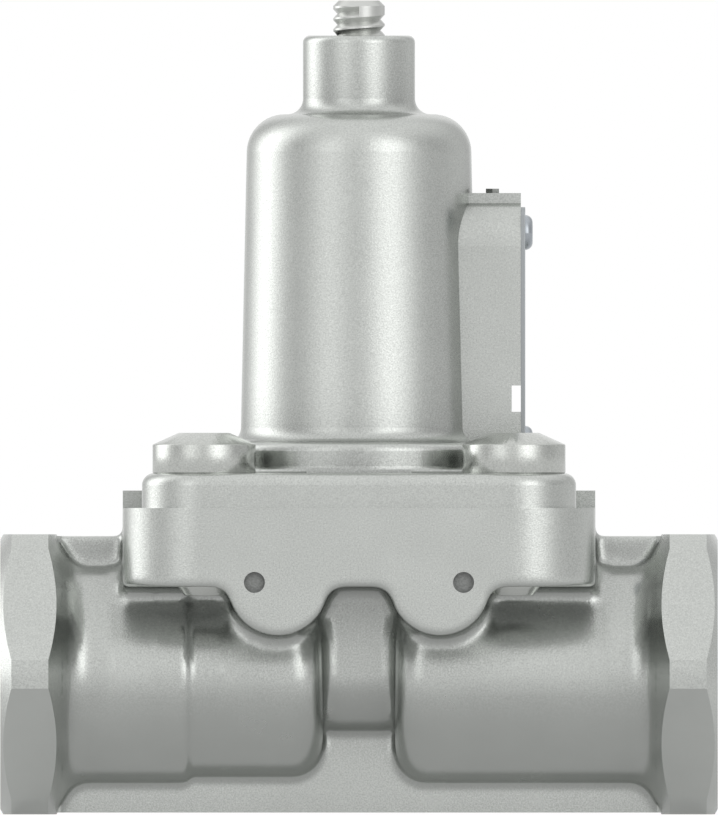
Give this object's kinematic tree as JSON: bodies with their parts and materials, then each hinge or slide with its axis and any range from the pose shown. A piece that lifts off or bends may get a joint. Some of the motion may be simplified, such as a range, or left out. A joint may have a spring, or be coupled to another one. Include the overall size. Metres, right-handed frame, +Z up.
{
  "type": "overflow valve",
  "caption": "Die-cast diaphragm overflow valve with in-line threaded hexagon ports, square bolted cover, tall spring bonnet, adjusting screw and side vent plate.",
  "frame": {"origin": "centre of the bounding box in plan, on the plane of the lower flats of the port hexagons", "axes": "+Z up along the bonnet and the adjusting screw, +X from the inlet port to the outlet port, +Y towards the mounting face"},
  "size_m": [0.082, 0.054, 0.093],
  "materials": {
    "body_casting": "fine-grained blasted die casting",
    "bonnet_casting": "fine-grained blasted die casting",
    "machined_aluminium": "turned",
    "sheet_aluminium": "smooth rolled sheet",
    "cover_screws": "zinc plated, satin",
    "plated_steel": "zinc plated, satin",
    "rivets": "bright, slightly bluish zinc",
    "spring_steel": "drawn wire, oiled",
    "bearing_steel": "polished",
    "rubber": "moulded, matte",
    "brass": "turned"
  },
  "bodies": {
    "housing": {"valve_body": "body_casting", "bonnet": "bonnet_casting", "diaphragm": "rubber", "adjusting_spring": "spring_steel", "cover_screw_front_left": "cover_screws", "cover_screw_front_right": "cover_screws", "cover_screw_rear_left": "cover_screws", "cover_screw_rear_right": "cover_screws", "vent_cover_plate": "sheet_aluminium", "plate_rivet_upper": "rivets", "plate_rivet_lower": "rivets", "check_valve_spring": "spring_steel", "check_valve_guide": "plated_steel", "check_valve_circlip": "spring_steel"},
    "piston": {"thrust_piston": "machined_aluminium"},
    "spring_seat": {"upper_spring_seat": "plated_steel", "thrust_ball": "bearing_steel"},
    "screw": {"adjusting_screw": "plated_steel"},
    "check_valve": {"check_valve_disc": "brass", "check_valve_facing": "rubber"}
  },
  "joints": [
    {"name": "diaphragm_lift", "type": "slide", "parent": "housing", "child": "piston", "axis": [0, 0, 1], "range_m": [0, 0.002], "stiffness_N_per_m": 300, "deforming": ["adjusting_spring", "diaphragm"]},
    {"name": "seat_slide", "type": "slide", "parent": "housing", "child": "spring_seat", "axis": [0, 0, 1], "range_m": [-0.00374, 0.00187], "deforming": ["adjusting_spring"]},
    {"name": "screw_turn", "type": "hinge", "parent": "spring_seat", "child": "screw", "pos_m": [0, 0, 0.085], "axis": [0, 0, 1], "range_deg": [-1080, 540]},
    {"name": "check_valve_lift", "type": "slide", "parent": "housing", "child": "check_valve", "axis": [-1, 0, 0], "range_m": [0, 0.0025], "stiffness_N_per_m": 60, "deforming": ["check_valve_spring"]}
  ],
  "couplings": [
    {"joint": "screw_turn", "follows": "seat_slide", "rad_per_m": 5026.6}
  ]
}
